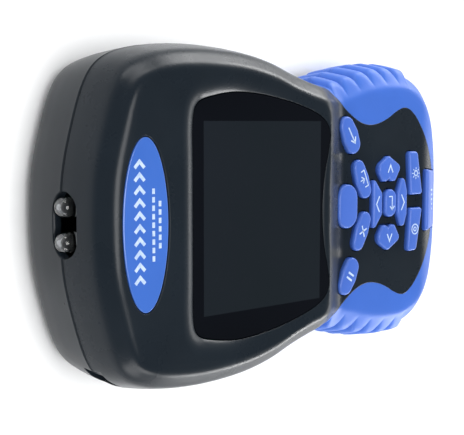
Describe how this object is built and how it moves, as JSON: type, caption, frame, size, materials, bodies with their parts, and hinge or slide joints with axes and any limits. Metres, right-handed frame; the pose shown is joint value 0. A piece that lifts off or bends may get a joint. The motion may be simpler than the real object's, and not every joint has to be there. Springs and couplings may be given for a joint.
{
  "type": "handheld GPS land meter",
  "caption": "Handheld satellite land-area meter: head with display and two lamps, waist, rubber-gripped handle with keypad, battery door and charging flap.",
  "frame": {"origin": "on the flat back, under the middle of the case's bounding box", "axes": "+X to the right seen from the front, +Y towards the lamp end, +Z out of the front face"},
  "size_m": [0.088, 0.1447, 0.035],
  "materials": {
    "shell": "fine moulded texture",
    "shell_back": "fine moulded texture",
    "grip": "soft touch",
    "grip_back": "soft touch",
    "label": "printed under gloss",
    "window": "gloss, dark border",
    "gasket": "foam",
    "lcd": "unlit display",
    "lcd_frame": "moulded",
    "flex": "flexible circuit",
    "mat": "silicone",
    "keys": "soft silicone",
    "board": "solder mask",
    "ceramic": "fired",
    "tin": "tinned",
    "black_plastic": "moulded",
    "lens": "clear epoxy",
    "cell": "shrink sleeve",
    "door": "moulded",
    "steel": "ground",
    "spring": "drawn wire",
    "brass": "plated",
    "port": "stamped",
    "flap": "soft",
    "screw": "blackened"
  },
  "bodies": {
    "case": {"front_shell": "shell", "rear_shell": "shell_back", "front_grip": "grip", "rear_grip": "grip_back", "label_plate": "label", "display_window": "window", "window_gasket": "gasket", "lcd_panel": "lcd", "lcd_frame": "lcd_frame", "lcd_flex": "flex", "keypad_mat": "mat", "main_board": "board", "gps_antenna": "ceramic", "gps_shield": "tin", "processor_shield": "tin", "buzzer": "black_plastic", "lamp_left": "lens", "lamp_right": "lens", "lamp_board": "board", "battery_cell": "cell", "door_pin": "steel", "contact_spring": "spring", "contact_plate": "brass", "charge_board": "board", "usb_port": "port", "case_screws": "screw", "board_screws": "screw"},
    "power_key_body": {"power_key": "keys"},
    "back_key_body": {"back_key": "keys"},
    "pause_key_body": {"pause_key": "keys"},
    "save_key_body": {"save_key": "keys"},
    "delete_key_body": {"delete_key": "keys"},
    "up_key_body": {"up_key": "keys"},
    "down_key_body": {"down_key": "keys"},
    "left_key_body": {"left_key": "keys"},
    "right_key_body": {"right_key": "keys"},
    "enter_key_body": {"enter_key": "keys"},
    "light_key_body": {"light_key": "keys"},
    "cash_key_body": {"cash_key": "keys"},
    "backlit_key_body": {"backlit_key": "keys"},
    "door": {"battery_door": "door"},
    "flap": {"usb_flap": "flap"}
  },
  "joints": [
    {"name": "power_press", "type": "slide", "parent": "case", "child": "power_key_body", "axis": [0, 0, -1], "range_m": [0, 0.0009], "stiffness_N_per_m": 400},
    {"name": "back_press", "type": "slide", "parent": "case", "child": "back_key_body", "axis": [0, 0, -1], "range_m": [0, 0.0009], "stiffness_N_per_m": 400},
    {"name": "pause_press", "type": "slide", "parent": "case", "child": "pause_key_body", "axis": [0, 0, -1], "range_m": [0, 0.0009], "stiffness_N_per_m": 400},
    {"name": "save_press", "type": "slide", "parent": "case", "child": "save_key_body", "axis": [0, 0, -1], "range_m": [0, 0.0009], "stiffness_N_per_m": 400},
    {"name": "delete_press", "type": "slide", "parent": "case", "child": "delete_key_body", "axis": [0, 0, -1], "range_m": [0, 0.0009], "stiffness_N_per_m": 400},
    {"name": "up_press", "type": "slide", "parent": "case", "child": "up_key_body", "axis": [0, 0, -1], "range_m": [0, 0.0009], "stiffness_N_per_m": 400},
    {"name": "down_press", "type": "slide", "parent": "case", "child": "down_key_body", "axis": [0, 0, -1], "range_m": [0, 0.0009], "stiffness_N_per_m": 400},
    {"name": "left_press", "type": "slide", "parent": "case", "child": "left_key_body", "axis": [0, 0, -1], "range_m": [0, 0.0009], "stiffness_N_per_m": 400},
    {"name": "right_press", "type": "slide", "parent": "case", "child": "right_key_body", "axis": [0, 0, -1], "range_m": [0, 0.0009], "stiffness_N_per_m": 400},
    {"name": "enter_press", "type": "slide", "parent": "case", "child": "enter_key_body", "axis": [0, 0, -1], "range_m": [0, 0.0009], "stiffness_N_per_m": 400},
    {"name": "light_press", "type": "slide", "parent": "case", "child": "light_key_body", "axis": [0, 0, -1], "range_m": [0, 0.0009], "stiffness_N_per_m": 400},
    {"name": "cash_press", "type": "slide", "parent": "case", "child": "cash_key_body", "axis": [0, 0, -1], "range_m": [0, 0.0009], "stiffness_N_per_m": 400},
    {"name": "backlit_press", "type": "slide", "parent": "case", "child": "backlit_key_body", "axis": [0, 0, -1], "range_m": [0, 0.0009], "stiffness_N_per_m": 400},
    {"name": "door_hinge", "type": "hinge", "parent": "case", "child": "door", "pos_m": [0, 0.0126, 0.0016], "axis": [1, 0, 0], "range_deg": [0, 95]},
    {"name": "flap_hinge", "type": "hinge", "parent": "case", "child": "flap", "pos_m": [0, -0.07035, 0.0074], "axis": [1, 0, 0], "range_deg": [0, 100]}
  ]
}
